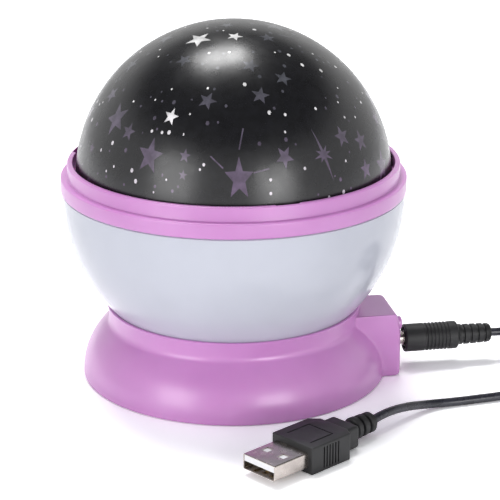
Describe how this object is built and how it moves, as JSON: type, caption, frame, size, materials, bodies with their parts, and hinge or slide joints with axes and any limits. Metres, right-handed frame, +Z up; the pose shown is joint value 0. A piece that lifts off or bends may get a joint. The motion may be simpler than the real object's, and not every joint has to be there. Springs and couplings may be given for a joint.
{
  "type": "star night light projector",
  "caption": "Night light with a milky bowl and a black star-cut dome that turn together on a bell-shaped base with a control box, push buttons and a plug-in USB lead.",
  "frame": {"origin": "on the axis that the bowl and dome turn about, at table level under the base", "axes": "+Z up along the turning axis, +X straight out of the control box along the power plug"},
  "size_m": [0.1678, 0.1356, 0.1057],
  "materials": {
    "pink_plastic": "glossy moulded pink-purple ABS",
    "milky_plastic": "glossy milky white polypropylene",
    "dome_plastic": "satin black printed acrylic with clear star windows",
    "inner_nylon": "natural moulded nylon",
    "plated_steel": "bright zinc plate",
    "foot_rubber": "matt black rubber",
    "circuit_board": "green solder mask",
    "led_resin": "clear cast resin",
    "switch_plastic": "matt black nylon",
    "cable_vinyl": "satin black soft vinyl",
    "plug_nickel": "bright nickel plate",
    "tongue_plastic": "white moulded plastic",
    "contact_gold": "gold flash"
  },
  "bodies": {
    "base": {"base_shell": "pink_plastic", "bottom_cover": "pink_plastic", "battery_tray": "inner_nylon", "battery_contacts": "plated_steel", "battery_springs": "plated_steel", "rubber_feet": "foot_rubber", "cover_screws": "plated_steel", "mechanism_deck": "inner_nylon", "deck_screws": "plated_steel", "gear_motor": "plated_steel", "motor_screws": "plated_steel", "lamp_post": "inner_nylon", "post_screws": "plated_steel", "glide_washer": "inner_nylon", "retaining_clip": "plated_steel", "lamp_board": "circuit_board", "lamp_leds": "led_resin", "control_board": "circuit_board", "tact_switches": "switch_plastic", "dc_jack": "switch_plastic"},
    "head": {"bowl": "milky_plastic", "ring_gear": "inner_nylon", "gear_screws": "plated_steel", "bezel_ring": "pink_plastic"},
    "dome": {"star_dome": "dome_plastic"},
    "pinion": {"motor_pinion": "inner_nylon"},
    "light_key": {"light_button": "pink_plastic"},
    "colour_key": {"colour_button": "pink_plastic"},
    "spin_key": {"spin_button": "pink_plastic"},
    "door": {"battery_door": "pink_plastic", "door_screw": "plated_steel"},
    "lead": {"dc_plug_barrel": "plug_nickel", "dc_plug_body": "cable_vinyl", "cord_lead_in": "cable_vinyl", "cord_coil": "cable_vinyl", "cord_tail": "cable_vinyl", "usb_plug_body": "cable_vinyl", "usb_shell": "plug_nickel", "usb_tongue": "tongue_plastic", "usb_contacts": "contact_gold"}
  },
  "joints": [
    {"name": "head_spin", "type": "hinge", "parent": "base", "child": "head", "pos_m": [0, 0, 0.02], "axis": [0, 0, 1], "continuous": true},
    {"name": "pinion_spin", "type": "hinge", "parent": "base", "child": "pinion", "pos_m": [0, 0.028, 0.015], "axis": [0, 0, 1], "continuous": true},
    {"name": "dome_lift", "type": "slide", "parent": "head", "child": "dome", "axis": [0, 0, 1], "range_m": [0, 0.06]},
    {"name": "light_press", "type": "slide", "parent": "base", "child": "light_key", "axis": [-1, 0, 0], "range_m": [0, 0.0008], "stiffness_N_per_m": 1200},
    {"name": "colour_press", "type": "slide", "parent": "base", "child": "colour_key", "axis": [-1, 0, 0], "range_m": [0, 0.0008], "stiffness_N_per_m": 1200},
    {"name": "spin_press", "type": "slide", "parent": "base", "child": "spin_key", "axis": [-1, 0, 0], "range_m": [0, 0.0008], "stiffness_N_per_m": 1200},
    {"name": "door_tilt", "type": "hinge", "parent": "base", "child": "door", "pos_m": [0, 0.0108, 0.0019], "axis": [1, 0, 0], "range_deg": [0, 75]},
    {"name": "lead_pull", "type": "slide", "parent": "base", "child": "lead", "axis": [1, 0, 0], "range_m": [0, 0.012]}
  ],
  "couplings": [
    {"joint": "pinion_spin", "follows": "head_spin", "ratio": -3.6667}
  ]
}
